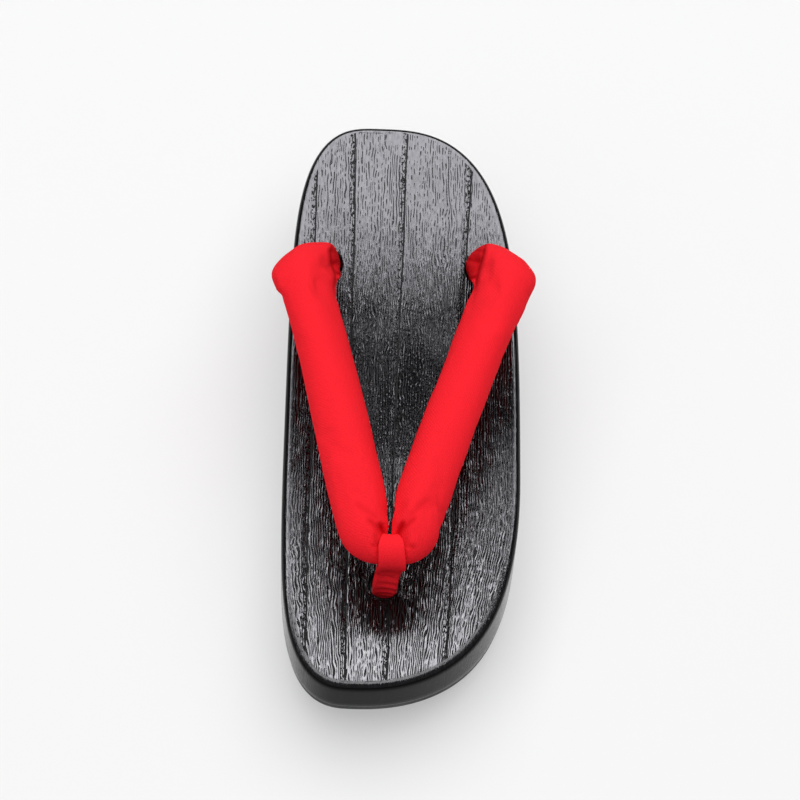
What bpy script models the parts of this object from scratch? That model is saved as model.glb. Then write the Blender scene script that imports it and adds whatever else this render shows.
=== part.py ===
"""A left geta: a lacquered wooden sandal on two rubber soles, held by a padded cloth thong.

Frame: metres, +Z up. The origin is on the floor under the middle of the sandal. The toe points to -Y
and the heel to +Y. The sandal is a left one, so its big-toe (medial) side is at -X and its outer
(lateral) side is at +X.
"""
import math
from collections import namedtuple

import bmesh
import bpy
from mathutils import Matrix, Vector

MM = 0.001
GAP = 0.3 * MM                  # clearance between touching pieces
SMOOTH_ANGLE = math.radians(35)  # sharper edges than this are shaded as edges

FINISHES = {
    "black_lacquer": dict(color=(0.012, 0.012, 0.013), roughness=0.28, metallic=0.0),
    "black_rubber": dict(color=(0.02, 0.02, 0.021), roughness=0.65, metallic=0.0),
    "red_cloth": dict(color=(0.80, 0.015, 0.03), roughness=0.85, metallic=0.0),
}

# The platform seen from above
LENGTH = 245 * MM
TOE_Y = -LENGTH / 2
HEEL_Y = LENGTH / 2
TOE_TIP_X = -14.2 * MM          # the longest point of the toe, towards the big toe
HEEL_TIP_X = -9.4 * MM
# The widest point of each side, how square the corners beyond it are, and how full before its tip
OUTLINE = {
    "medial": dict(x=-43.2 * MM, y=-4 * MM, toe=(3.08, 0.48), heel=(3.42, 0.42)),
    "lateral": dict(x=45.8 * MM, y=-27 * MM, toe=(2.31, 0.29), heel=(2.94, 0.42)),
}
STATION_STEP = 5.5 * MM         # spacing of the cross-sections along the middle
STATION_MERGE = 0.5 * MM        # the least spacing
TIP_STATIONS = 11               # closer cross-sections towards either tip
TIP_CROWDING = 0.7

# The footbed's height above the floor, a cubic along half the length
FOOTBED_MIDDLE = 35.1 * MM
FOOTBED_SLOPE = 10.4 * MM
FOOTBED_DISH = 7.4 * MM
FOOTBED_TWIST = -4.6 * MM
TOP_ROUND = 3.2 * MM            # radius of the rounded upper edge
TOP_ROUND_STEPS = 4
LOWER_BEVEL = 1.0 * MM

# The underside
RUBBER = 5.3 * MM               # thickness of both soles
TOE_LIFT = 17.4 * MM            # height of the toe tip's underside
ROCKER_START = -30 * MM         # in front of this the sole rises towards the toe
ROCKER_POWER = 1.8
STEP_Y = -19 * MM               # where the forefoot sole ends in a step
ARCH_SLOPE = 0.36
ARCH_BEND = 20 * MM             # the straight ramp behind the step bends to the ceiling here
ARCH_FLAT = 38 * MM             # and is level from here
HEEL_BEND = 50 * MM             # the ceiling drops to the heel block from here
HEEL_FRONT = 80 * MM
SOLE_INSET = 0.5 * MM           # the soles stand in from the wood by this at the sides
TOE_INSET = 2.0 * MM            # and by this at the toe tip
HEEL_INSET = 1.0 * MM
SOLE_BEVEL = 0.8 * MM

# The three strap holes, each with a round recess from below for its knot
FRONT_HOLE = dict(x=-4.4 * MM, y=-77.4 * MM, radius=5.3 * MM, recess=11.5 * MM, ceiling=21.0 * MM)
REAR_HOLE_SPACING = 60.6 * MM
REAR_HOLE_MIDDLE = 0.4 * MM
REAR_HOLE = dict(y=59.3 * MM, radius=6.5 * MM, recess=10.0 * MM, ceiling=26.5 * MM)
HOLE_SIDES = 32
CUTTER_BOTTOM = -10 * MM
CUTTER_TOP = 80 * MM

# The padded strap: a row for each section, from the point of the V back to the rear hole.
# Half width is across the strap and half height is through it. Lean drops its outer edge.
Section = namedtuple("Section", "x y z half_width half_height lean")
STRAP_UNITS = Section(MM, MM, MM, MM, MM, math.radians(1))
STRAP_POINT = (-2.4, -74.5, 55.0, 6.8, 7.0, 0)
STRAP_ARMS = {
    "medial": (
        (-7.4, -73.4, 55.1, 7.2, 7.4, 0),
        (-11.3, -70.0, 55.4, 9.0, 8.7, 3),
        (-13.3, -63.8, 55.7, 9.5, 9.0, 7),
        (-15.3, -53.7, 55.9, 10.1, 9.2, 12),
        (-21.9, -23.0, 56.4, 10.4, 9.2, 15),
        (-29.6, 9.0, 56.8, 10.4, 9.2, 15),
        (-37.4, 38.0, 57.0, 10.5, 9.3, 14),
        (-39.7, 47.5, 56.4, 10.5, 9.2, 10),
        (-38.2, 54.0, 54.0, 10.0, 9.0, 5),
        (-35.2, 58.2, 50.2, 9.0, 8.6, 0),
        (-32.4, 59.5, 46.0, 7.4, 7.4, 0),
    ),
    "lateral": (
        (2.5, -72.9, 55.1, 7.2, 7.4, 0),
        (5.2, -69.0, 55.4, 8.8, 8.7, 3),
        (6.3, -63.1, 55.7, 8.9, 9.0, 7),
        (8.5, -52.8, 55.9, 9.9, 9.2, 12),
        (17.8, -21.5, 56.4, 10.4, 9.2, 15),
        (28.2, 11.0, 56.8, 10.4, 9.2, 15),
        (37.0, 39.0, 57.0, 10.5, 9.3, 14),
        (39.7, 47.8, 56.4, 10.5, 9.2, 10),
        (39.0, 54.2, 54.0, 10.0, 9.0, 5),
        (36.0, 58.2, 50.2, 9.0, 8.6, 0),
        (33.2, 59.5, 46.0, 7.4, 7.4, 0),
    ),
}
STRAP_SPAN_STEPS = 4            # cross-sections between two rows
STRAP_SIDES = 24
NECK_RADIUS = 5.0 * MM          # the strap's end inside the rear hole
NECK_RISE = 1.5 * MM            # the neck starts this far above the footbed
NECK_TAPER_Z = 33.0 * MM        # below this the neck narrows to its cord
CORD_RADIUS = 3.2 * MM

# The thong band: two plies in the front hole that part to loop round the point of the V
BAND_THICKNESS = 1.6 * MM
BAND_LOOP_WIDTH = 10.6 * MM
BAND_TAIL_WIDTH = 8.8 * MM
BAND_EDGE = 0.4 * MM
BAND_FRONT_SHIFT = 0.9 * MM     # the band stands this far in front of the middle of its hole
BAND_GROOVE_ROOM = 1.2 * MM     # the padding stands back from the band's outer side by this
GROOVE_SIDES = 32
BAND_LOOP_STEPS = 22
BAND_OPENING = math.radians(24)  # half the angle that the loop leaves open below, for the tail
BAND_TAIL = (                   # the tail above its hole: how far it moves in x, y and z, in mm
    (0.0, 0.0, 0.0),
    (0.0, -0.5, 3.5),
    (0.6, 0.6, 8.0),
)

# The knots under the base
FRONT_KNOT = dict(radius=9.0 * MM, height=8.0 * MM)
REAR_KNOT = dict(radius=8.6 * MM, height=8.0 * MM)
KNOT_SIDES = 20
KNOT_RINGS = 8
KNOT_FLAT_END = 0.35            # the flat ends' share of the radius
KNOT_WAIST = 0.12               # depth of the waist, as a share of the radius
KNOT_LOBES = 3
KNOT_LOBE_DEPTH = 0.05          # depth of the hollows between the lobes


def clear_scene():
    for thing in list(bpy.data.objects):
        bpy.data.objects.remove(thing, do_unlink=True)


def material(name):
    look = FINISHES[name]
    finish = bpy.data.materials.new(name)
    finish.use_nodes = True
    shader = finish.node_tree.nodes["Principled BSDF"]
    shader.inputs["Base Color"].default_value = (*look["color"], 1.0)
    shader.inputs["Roughness"].default_value = look["roughness"]
    shader.inputs["Metallic"].default_value = look["metallic"]
    return finish


def add_object(name, points, faces, finish):
    """Make a named object from points and faces, with its faces turned outwards."""
    mesh = bpy.data.meshes.new(name)
    shape = bmesh.new()
    verts = [shape.verts.new(point) for point in points]
    for face in faces:
        shape.faces.new([verts[index] for index in face])
    bmesh.ops.recalc_face_normals(shape, faces=shape.faces)
    shape.to_mesh(mesh)
    shape.free()
    mesh.shade_smooth()
    mesh.set_sharp_from_angle(angle=SMOOTH_ANGLE)
    if finish:
        mesh.materials.append(finish)
    thing = bpy.data.objects.new(name, mesh)
    bpy.context.collection.objects.link(thing)
    return thing


def side_faces(size, rings):
    """The four-sided faces between rings that follow each other."""
    faces = []
    for low in range(0, (rings - 1) * size, size):
        for index in range(size):
            after = (index + 1) % size
            faces.append([low + index, low + after, low + size + after, low + size + index])
    return faces


def tube(name, rings, finish):
    """A closed solid through rings of equal size, capped flat at both ends."""
    size = len(rings[0])
    points = [point for ring in rings for point in ring]
    end = (len(rings) - 1) * size
    faces = [list(range(size))] + side_faces(size, len(rings)) + [list(range(end, end + size))]
    return add_object(name, points, faces, finish)


def as_cutter(piece):
    piece.hide_render = True
    piece.display_type = "WIRE"
    return piece


def cut(piece, cutter):
    boolean = piece.modifiers.new("cut", "BOOLEAN")
    boolean.operation = "DIFFERENCE"
    boolean.object = cutter


def side_x(side, y, inset=0.0, toe_y=TOE_Y, heel_y=HEEL_Y):
    """Where the outline's medial or lateral side is at y: two quarters of a fuller superellipse."""
    widest = OUTLINE[side]
    towards_toe = y < widest["y"]
    tip_x = TOE_TIP_X if towards_toe else HEEL_TIP_X
    tip_y = toe_y if towards_toe else heel_y
    power, fullness = widest["toe"] if towards_toe else widest["heel"]
    reach = min(1.0, abs((y - widest["y"]) / (tip_y - widest["y"])))
    widest_x = widest["x"] - math.copysign(inset, widest["x"])
    share = (1.0 - reach ** power) ** (1.0 / power) + fullness * reach ** 4 * (1.0 - reach)
    return tip_x + (widest_x - tip_x) * share


def footbed_z(y):
    along = y / (LENGTH / 2)
    return FOOTBED_MIDDLE + FOOTBED_SLOPE * along + FOOTBED_DISH * along ** 2 + FOOTBED_TWIST * along ** 3


def tread_z(y):
    """The ground side of the forefoot sole: flat near the step, rising to the toe."""
    rise = max(0.0, (ROCKER_START - y) / (ROCKER_START - TOE_Y))
    return TOE_LIFT * rise ** ROCKER_POWER


def arch_ceiling():
    ramp = RUBBER + ARCH_SLOPE * (ARCH_BEND - STEP_Y)
    return ramp + ARCH_SLOPE * (ARCH_FLAT - ARCH_BEND) / 2


def wood_underside_z(y):
    """The underside of the wood, along its whole length."""
    if y <= STEP_Y:
        return tread_z(y) + RUBBER
    if y <= ARCH_BEND:
        return RUBBER + ARCH_SLOPE * (y - STEP_Y)
    if y <= ARCH_FLAT:
        left = (ARCH_FLAT - y) / (ARCH_FLAT - ARCH_BEND)
        return arch_ceiling() - ARCH_SLOPE * (ARCH_FLAT - ARCH_BEND) / 2 * left ** 2
    if y <= HEEL_BEND:
        return arch_ceiling()
    if y <= HEEL_FRONT:
        along = (y - HEEL_BEND) / (HEEL_FRONT - HEEL_BEND)
        return arch_ceiling() - (arch_ceiling() - RUBBER) * (1.0 - math.cos(math.pi * along)) / 2
    return RUBBER


def stations(start, end, tips):
    """The y of every cross-section: even steps, and closer ones towards a rounded tip."""
    count = round((end - start) / STATION_STEP)
    found = [start + (end - start) * step / count for step in range(1, count)]
    for tip in tips:
        for step in range(1, TIP_STATIONS):
            found.append(tip * math.sin(math.pi / 2 * step / TIP_STATIONS) ** TIP_CROWDING)
    kept = [start, end] + [corner for corner in (STEP_Y, HEEL_FRONT) if start < corner < end]
    for y in sorted(found):
        if start < y < end and all(abs(y - other) > STATION_MERGE for other in kept):
            kept.append(y)
    return sorted(kept)


def outline_ring(levels, inset=0.0, toe_y=TOE_Y, heel_y=HEEL_Y):
    """The outline as a closed ring, down the lateral side and back up the medial side.

    Also gives the pairs of its points that face each other across the sandal.
    """
    lateral = [Vector((side_x("lateral", y, inset, toe_y, heel_y), y)) for y in levels]
    medial = [Vector((side_x("medial", y, inset, toe_y, heel_y), y)) for y in levels]
    first = 1 if levels[0] == toe_y else 0
    last = len(levels) - 1 if levels[-1] == heel_y else len(levels)
    ring = lateral + medial[first:last][::-1]
    pairs = [(step, (len(ring) - 1 + first - step) % len(ring)) for step in range(len(levels))]
    return ring, pairs


def inward(ring, distance):
    """The ring moved inwards by a distance, square to its own edge."""
    moved = []
    for index, point in enumerate(ring):
        ahead = ring[(index + 1) % len(ring)] - ring[index - 1]
        moved.append(point + Vector((-ahead.y, ahead.x)).normalized() * distance)
    return moved


def cap_faces(pairs, low):
    """Strips across a ring whose points start at low."""
    faces = []
    for (right, left), (next_right, next_left) in zip(pairs, pairs[1:]):
        corners = dict.fromkeys((right, next_right, next_left, left))
        faces.append([low + corner for corner in corners])
    return faces


def stacked_block(name, rings, pairs, finish):
    """A closed solid from rings stacked from its underside up to its top."""
    size = len(rings[0])
    points = [point for ring in rings for point in ring]
    faces = cap_faces(pairs, 0) + side_faces(size, len(rings)) + cap_faces(pairs, (len(rings) - 1) * size)
    return add_object(name, points, faces, finish)


def raised(ring, height):
    return [Vector((point.x, point.y, height(point.y))) for point in ring]


def wooden_base(finish):
    levels = stations(TOE_Y, HEEL_Y, (TOE_Y, HEEL_Y))
    ring, pairs = outline_ring(levels)
    rings = [
        raised(inward(ring, LOWER_BEVEL), wood_underside_z),
        raised(ring, lambda y: wood_underside_z(y) + LOWER_BEVEL),
    ]
    for step in range(TOP_ROUND_STEPS + 1):
        angle = math.pi / 2 * step / TOP_ROUND_STEPS
        inset = TOP_ROUND * (1.0 - math.cos(angle))
        drop = TOP_ROUND * (1.0 - math.sin(angle))
        rings.append(raised(inward(ring, inset), lambda y, drop=drop: footbed_z(y) - drop))
    base = stacked_block("wooden_base", rings, pairs, finish)
    for hole in all_holes():
        cut(base, hole_cutter(hole))


def sole(name, start, end, tip, height, finish):
    """A rubber sole between two places along the sandal, one of which is its rounded tip."""
    levels = stations(start, end, (tip,))
    toe_y = tip if tip == start else TOE_Y
    heel_y = tip if tip == end else HEEL_Y
    ring, pairs = outline_ring(levels, SOLE_INSET, toe_y, heel_y)
    rings = [
        raised(inward(ring, SOLE_BEVEL), height),
        raised(ring, lambda y: height(y) + SOLE_BEVEL),
        raised(ring, lambda y: height(y) + RUBBER - GAP),
    ]
    return stacked_block(name, rings, pairs, finish)


def forefoot_sole(finish):
    start = TOE_Y + TOE_INSET
    piece = sole("forefoot_sole", start, STEP_Y, start, tread_z, finish)
    cut(piece, hole_cutter(all_holes()[0]))


def heel_sole(finish):
    end = HEEL_Y - HEEL_INSET
    sole("heel_sole", HEEL_FRONT, end, end, lambda y: 0.0, finish)


def all_holes():
    """The front hole, then the medial and the lateral rear hole."""
    rear = [dict(REAR_HOLE, x=REAR_HOLE_MIDDLE + side * REAR_HOLE_SPACING / 2) for side in (-1, 1)]
    return [FRONT_HOLE] + rear


def hole_cutter(hole):
    """A turned shape: the recess below its ceiling, and the strap's hole above it."""
    profile = (
        (hole["recess"], CUTTER_BOTTOM),
        (hole["recess"], hole["ceiling"]),
        (hole["radius"], hole["ceiling"]),
        (hole["radius"], CUTTER_TOP),
    )
    rings = []
    for radius, z in profile:
        turned = [2 * math.pi * step / HOLE_SIDES for step in range(HOLE_SIDES)]
        middle = Vector((hole["x"], hole["y"], z))
        rings.append([middle + radius * Vector((math.cos(turn), math.sin(turn), 0)) for turn in turned])
    return as_cutter(tube("cutter", rings, None))


def smooth_rows(rows, steps):
    """Rows read from a smooth curve through the given ones, with steps from one to the next."""
    found = []
    for index in range(len(rows) - 1):
        before = rows[max(index - 1, 0)]
        here = rows[index]
        ahead = rows[index + 1]
        beyond = rows[min(index + 2, len(rows) - 1)]
        for step in range(steps):
            part = step / steps
            row = []
            for p0, p1, p2, p3 in zip(before, here, ahead, beyond):
                curve = 2 * p1 + (p2 - p0) * part
                curve += (2 * p0 - 5 * p1 + 4 * p2 - p3) * part ** 2
                curve += (3 * p1 - p0 - 3 * p2 + p3) * part ** 3
                row.append(curve / 2)
            found.append(tuple(row))
    found.append(tuple(rows[-1]))
    return found


def section(row):
    """A row of the strap's tables in metres and radians."""
    return Section(*[value * unit for value, unit in zip(row, STRAP_UNITS)])


def arm_sections(side):
    """One arm's sections, from the point of the V down to the end of its cord."""
    rows = [section(row) for row in (STRAP_POINT,) + STRAP_ARMS[side]]
    sections = [Section(*row) for row in smooth_rows(rows, STRAP_SPAN_STEPS)]
    hole = all_holes()[1 if side == "medial" else 2]
    outward = -1 if side == "medial" else 1
    neck_x = hole["x"] + outward * (hole["radius"] - NECK_RADIUS - GAP)
    mouth = footbed_z(hole["y"]) + NECK_RISE
    for x, z, radius in (
        (neck_x, mouth, NECK_RADIUS),
        (neck_x, NECK_TAPER_Z, NECK_RADIUS),
        (hole["x"], (NECK_TAPER_Z + hole["ceiling"]) / 2, CORD_RADIUS),
        (hole["x"], hole["ceiling"], CORD_RADIUS),
    ):
        sections.append(Section(x, hole["y"], z, radius, radius, 0.0))
    return sections


def arm_rings(side):
    """The cross-sections of one arm, each turned as little as the curve of the arm allows."""
    sections = arm_sections(side)
    places = [Vector((row.x, row.y, row.z)) for row in sections]
    mirror = -1 if side == "medial" else 1
    heading = Vector((mirror, 0, 0))
    inner = Vector((0, 1, 0))
    rings = []
    for index, row in enumerate(sections):
        if index == 0:
            tangent = heading
        elif index == len(sections) - 1:
            tangent = Vector((0, 0, -1))
        else:
            tangent = (places[index + 1] - places[index - 1]).normalized()
        inner = heading.rotation_difference(tangent) @ inner
        heading = tangent
        upward = mirror * tangent.cross(inner)
        tilt = Matrix.Rotation(-mirror * row.lean, 3, tangent)
        ring = []
        for step in range(STRAP_SIDES):
            angle = 2 * math.pi * step / STRAP_SIDES
            across = inner * row.half_width * math.cos(angle)
            through = upward * row.half_height * math.sin(angle)
            ring.append(places[index] + tilt @ (across + through))
        rings.append(ring)
    return rings


def band_reach():
    """How far the band's middle line stands from the middle of the V's point, along Y and up."""
    point = section(STRAP_POINT)
    clear = GAP + BAND_THICKNESS / 2
    return point.half_width + clear, point.half_height + clear


def groove_cutter():
    """A ring round the point of the V, where the band presses into the padding."""
    middle = section(STRAP_POINT)
    side = BAND_LOOP_WIDTH / 2 + GAP
    inner = -BAND_THICKNESS / 2 - GAP
    outer = BAND_THICKNESS / 2 + BAND_GROOVE_ROOM
    points = []
    for step in range(GROOVE_SIDES):
        angle = 2 * math.pi * step / GROOVE_SIDES
        for shift, grow in ((-side, inner), (side, inner), (side, outer), (-side, outer)):
            reach_y, reach_z = [reach + grow for reach in band_reach()]
            y = middle.y + reach_y * math.cos(angle)
            points.append((middle.x + shift, y, middle.z + reach_z * math.sin(angle)))
    total = len(points)
    faces = [[index % total for index in face] for face in side_faces(4, GROOVE_SIDES + 1)]
    return as_cutter(add_object("cutter", points, faces, None))


def padded_strap(finish):
    medial = arm_rings("medial")
    lateral = arm_rings("lateral")
    strap = tube("padded_strap", medial[::-1] + lateral[1:], finish)
    cut(strap, groove_cutter())


def band_path():
    """The band's middle line and width: up in front, round the point of the V and down behind."""
    middle = section(STRAP_POINT)
    reach_y, reach_z = band_reach()
    mouth = Vector((FRONT_HOLE["x"], FRONT_HOLE["y"] - BAND_FRONT_SHIFT, 0))
    mouth.z = footbed_z(mouth.y)
    tail = [Vector((mouth.x, mouth.y, FRONT_HOLE["ceiling"]))]
    tail += [mouth + Vector(shift) * MM for shift in BAND_TAIL]
    ply = Vector((0, (BAND_THICKNESS + GAP) / 2, 0))
    loop = []
    for step in range(BAND_LOOP_STEPS + 1):
        turned = BAND_OPENING + (2 * math.pi - 2 * BAND_OPENING) * step / BAND_LOOP_STEPS
        y = middle.y - reach_y * math.sin(turned)
        loop.append((Vector((middle.x, y, middle.z - reach_z * math.cos(turned))), BAND_LOOP_WIDTH))
    front = [(place - ply, BAND_TAIL_WIDTH) for place in tail]
    back = [(place + ply, BAND_TAIL_WIDTH) for place in tail[::-1]]
    return front + loop + back


def front_thong(finish):
    """The cloth band as a flat strip with bevelled edges, swept along its path."""
    path = band_path()
    half = BAND_THICKNESS / 2
    rings = []
    for index, (place, width) in enumerate(path):
        ahead = (path[min(index + 1, len(path) - 1)][0] - place).normalized()
        behind = (place - path[max(index - 1, 0)][0]).normalized()
        outward = (ahead + behind).cross(Vector((1, 0, 0))).normalized()
        side = width / 2
        corners = (
            (side - BAND_EDGE, half), (side, half - BAND_EDGE), (side, BAND_EDGE - half),
            (side - BAND_EDGE, -half), (BAND_EDGE - side, -half), (-side, BAND_EDGE - half),
            (-side, half - BAND_EDGE), (BAND_EDGE - side, half),
        )
        rings.append([place + Vector((shift, 0, 0)) + outward * lift for shift, lift in corners])
    tube("front_thong", rings, finish)


def knot(name, hole, size, finish):
    """A pulled-tight cloth knot: a flattened ball with a waist and three lobes, under a hole."""
    top = hole["ceiling"] - GAP
    rings = []
    for level in range(KNOT_RINGS + 1):
        rise = math.pi * level / KNOT_RINGS
        fullness = max(KNOT_FLAT_END, math.sqrt(math.sin(rise)))
        waist = 1.0 - KNOT_WAIST * math.exp(-(level - KNOT_RINGS / 2) ** 2)
        middle = Vector((hole["x"], hole["y"], top - size["height"] * (1.0 - math.cos(rise)) / 2))
        ring = []
        for step in range(KNOT_SIDES):
            angle = 2 * math.pi * step / KNOT_SIDES
            lobe = 1.0 - KNOT_LOBE_DEPTH * (1.0 + math.cos(KNOT_LOBES * angle)) / 2
            radius = size["radius"] * fullness * waist * lobe
            ring.append(middle + radius * Vector((math.cos(angle), math.sin(angle), 0)))
        rings.append(ring)
    tube(name, rings, finish)


def build():
    clear_scene()
    lacquer = material("black_lacquer")
    rubber = material("black_rubber")
    cloth = material("red_cloth")
    wooden_base(lacquer)
    forefoot_sole(rubber)
    heel_sole(rubber)
    padded_strap(cloth)
    front_thong(cloth)
    holes = all_holes()
    knot("front_knot", holes[0], FRONT_KNOT, cloth)
    knot("rear_knot_medial", holes[1], REAR_KNOT, cloth)
    knot("rear_knot_lateral", holes[2], REAR_KNOT, cloth)


build()
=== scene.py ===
# A left geta: lacquered wooden platform, two rubber soles and a padded red thong strap.
# Metres, +Z up. The toe points to -Y, the big toe's side is at -X and the floor is z = 0.
import math
from functools import partial

import bpy
import numpy as np
from mathutils import Matrix, Vector, noise


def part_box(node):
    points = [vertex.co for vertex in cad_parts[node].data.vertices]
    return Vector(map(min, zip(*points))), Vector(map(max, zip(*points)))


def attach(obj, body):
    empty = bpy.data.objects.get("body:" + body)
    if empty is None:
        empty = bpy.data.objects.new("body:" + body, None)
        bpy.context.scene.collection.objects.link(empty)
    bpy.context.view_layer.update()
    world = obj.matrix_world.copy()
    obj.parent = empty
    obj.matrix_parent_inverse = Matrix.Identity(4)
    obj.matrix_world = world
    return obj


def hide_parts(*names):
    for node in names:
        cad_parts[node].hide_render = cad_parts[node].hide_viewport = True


print("stage: loading the packed frame")
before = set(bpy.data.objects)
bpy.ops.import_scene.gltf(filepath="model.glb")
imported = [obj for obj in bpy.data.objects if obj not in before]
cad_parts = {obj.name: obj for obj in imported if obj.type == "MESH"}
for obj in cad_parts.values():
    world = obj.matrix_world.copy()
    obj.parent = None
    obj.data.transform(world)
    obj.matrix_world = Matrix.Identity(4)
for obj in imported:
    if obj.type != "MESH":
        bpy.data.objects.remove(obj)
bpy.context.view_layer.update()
mm = 0.001  # the shapes below are worked out in millimetres and made in metres

# Camera first: the pose that the sandal was photographed in
view = {
    "target": (0.0, 0.0, 38.0),
    "azimuth": 2.27,  # degrees, 0 looks along +Y
    "elevation": 56.7,
    "roll": 3.73,
    "distance": 1186.0,
    "lens": 141.75,
    "sensor": 36.0,
    "clip": (0.05, 20.0),
}


def addObject(name, data):
    added = bpy.data.objects.new(name, data)
    bpy.context.scene.collection.objects.link(added)
    return added


def makeCamera():
    data = bpy.data.cameras.new("camera")
    data.lens = view["lens"]
    data.sensor_width = view["sensor"]
    data.clip_start, data.clip_end = view["clip"]
    camera = addObject("camera", data)
    pose = Matrix.Translation(Vector(view["target"]) * mm)
    for degrees, axis in ((-view["azimuth"], "Z"), (90 - view["elevation"], "X"), (view["roll"], "Z")):
        pose = pose @ Matrix.Rotation(math.radians(degrees), 4, axis)
    camera.matrix_world = pose @ Matrix.Translation((0, 0, view["distance"] * mm))
    bpy.context.scene.camera = camera


makeCamera()


# Shared mesh helpers
def makeObject(name, points, faces, material=None, sharpDegrees=35.0):
    mesh = bpy.data.meshes.new(name)
    mesh.from_pydata([tuple(p) for p in np.asarray(points) * mm], [], [list(map(int, f)) for f in faces])
    mesh.update()
    mesh.shade_smooth()
    mesh.set_sharp_from_angle(angle=math.radians(sharpDegrees))
    if material:
        mesh.materials.append(material)
    return addObject(name, mesh)


def bakeModifiers(piece):
    # the evaluated shape becomes the piece's own mesh
    graph = bpy.context.evaluated_depsgraph_get()
    graph.update()
    mesh = bpy.data.meshes.new_from_object(piece.evaluated_get(graph))
    piece.modifiers.clear()
    piece.data = mesh


def wrapFaces(size, rings, closed=False):
    # four-sided faces between rings that follow each other, and on request one face on each end
    faces = [(low + i, low + (i + 1) % size, low + size + (i + 1) % size, low + size + i)
             for low in range(0, (rings - 1) * size, size) for i in range(size)]
    if closed:
        last = (rings - 1) * size
        faces += [range(size)[::-1], range(last, last + size)]
    return faces


def smoothRows(rows, steps):
    # Catmull-Rom through the rows of a table
    rows = [np.array(row, float) for row in rows]
    found = []
    for i in range(len(rows) - 1):
        p0, p1 = rows[max(i - 1, 0)], rows[i]
        p2, p3 = rows[i + 1], rows[min(i + 2, len(rows) - 1)]
        for k in range(steps):
            t = k / steps
            found.append((2 * p1 + (p2 - p0) * t + (2 * p0 - 5 * p1 + 4 * p2 - p3) * t ** 2
                          + (3 * p1 - p0 - 3 * p2 + p3) * t ** 3) / 2)
    return np.array(found + [rows[-1]])


def softStep(value, low, high):
    t = np.clip((value - low) / (high - low), 0.0, 1.0)
    return t * t * (3 - 2 * t)


def wander(along, seed, wavelength):
    # a smooth line of noise between about -1 and 1, the same on each run
    return np.array([noise.noise(Vector((y / wavelength, seed * 7.31, 0.5))) for y in np.ravel(along)]) * 1.6


# Attributes and points as arrays, points in millimetres
def storeFloats(mesh, **attributes):
    for name, values in attributes.items():
        attribute = mesh.attributes.new(name, "FLOAT", "POINT")
        attribute.data.foreach_set("value", np.asarray(values, np.float32).ravel())


def readValues(items, field, width=3):
    values = np.empty(len(items) * width, np.float32)
    items.foreach_get(field, values)
    return values.reshape(-1, width).astype(float)


def readPoints(mesh):
    return readValues(mesh.vertices, "co") / mm


def writePoints(mesh, points):
    mesh.vertices.foreach_set("co", (np.asarray(points) * mm).astype(np.float32).ravel())
    mesh.update()


def layWeaveMap(mesh, size, aroundStep, alongStep):
    # UV in millimetres round and along a tube of rings, so that the twill keeps its scale
    layer = mesh.uv_layers.new(name="weaveMap")
    for face in mesh.polygons:
        steps = [vertex % size for vertex in face.vertices]
        wraps = max(steps) - min(steps) > size / 2
        for loop, vertex, step in zip(face.loop_indices, face.vertices, steps):
            turn = step + (size if wraps and step < size / 2 else 0)
            layer.data[loop].uv = (turn * aroundStep, alongStep[vertex // size])


def quarterRound(radius, steps):
    # inset and lift of each step of a rounded lower edge
    for angle in np.linspace(0, math.pi / 2, steps):
        yield radius * (1 - math.sin(angle)), radius * (1 - math.cos(angle))


# Materials
def newMaterial(name, color, roughness, **inputs):
    material = bpy.data.materials.new(name)
    material.use_nodes = True
    tree = material.node_tree
    shader = tree.nodes["Principled BSDF"]
    feed(tree, shader, Base_Color=color, Roughness=roughness, **inputs)
    return material, tree, shader


def newGroup(name, inputs, outputs):
    # inputs without a number are vectors
    group = bpy.data.node_groups.new(name, "ShaderNodeTree")
    for label, value in inputs.items():
        kind = "NodeSocketVector" if value is None else "NodeSocketFloat"
        socket = group.interface.new_socket(name=label, in_out="INPUT", socket_type=kind)
        if value is not None:
            socket.default_value = value
    for label in outputs:
        group.interface.new_socket(name=label, in_out="OUTPUT", socket_type="NodeSocketFloat")
    return group, group.nodes.new("NodeGroupInput").outputs, group.nodes.new("NodeGroupOutput")


def connect(tree, value, socket):
    if isinstance(value, bpy.types.NodeSocket):
        tree.links.new(value, socket)
    elif socket.type == "RGBA":
        socket.default_value = (*value, 1.0)
    else:
        socket.default_value = value


def feed(tree, node, **inputs):
    # each input gets a number, a colour or another node's output; _ stands for the space in its label
    for label, value in inputs.items():
        connect(tree, value, node.inputs[label.replace("_", " ")])
    return node.outputs


def addNode(tree, kind, settings=None, **inputs):
    node = tree.nodes.new(kind)
    for name, value in (settings or {}).items():
        setattr(node, name, value)
    return feed(tree, node, **inputs)


def arithmetic(tree):
    # short forms for the Math nodes of one tree
    def calc(operation, a, b=0.0, clamp=False):
        node = tree.nodes.new("ShaderNodeMath")
        node.operation = operation
        node.use_clamp = clamp
        connect(tree, a, node.inputs[0])
        connect(tree, b, node.inputs[1])
        return node.outputs[0]
    names = ("ADD", "SUBTRACT", "MULTIPLY", "DIVIDE", "MAXIMUM", "SINE", "COSINE")
    return [partial(calc, name) for name in names]


def remap(tree, value, low, high, outLow=0.0, outHigh=1.0):
    return addNode(tree, "ShaderNodeMapRange", {"interpolation_type": "SMOOTHSTEP"}, Value=value,
                   From_Min=low, From_Max=high, To_Min=outLow, To_Max=outHigh)["Result"]


def mixColors(tree, factor, first, second):
    return addNode(tree, "ShaderNodeMix", {"data_type": "RGBA"}, Factor=factor, A=first, B=second)["Result"]


def noiseAt(tree, vector, scale, detail=2.0, roughness=0.5):
    return addNode(tree, "ShaderNodeTexNoise", Vector=vector, Scale=scale, Detail=detail,
                   Roughness=roughness)["Fac"]


def addGroup(tree, group, **inputs):
    return addNode(tree, "ShaderNodeGroup", {"node_tree": group}, **inputs)


def attributeAt(tree, name, output="Fac"):
    return addNode(tree, "ShaderNodeAttribute", {"attribute_name": name})[output]


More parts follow.
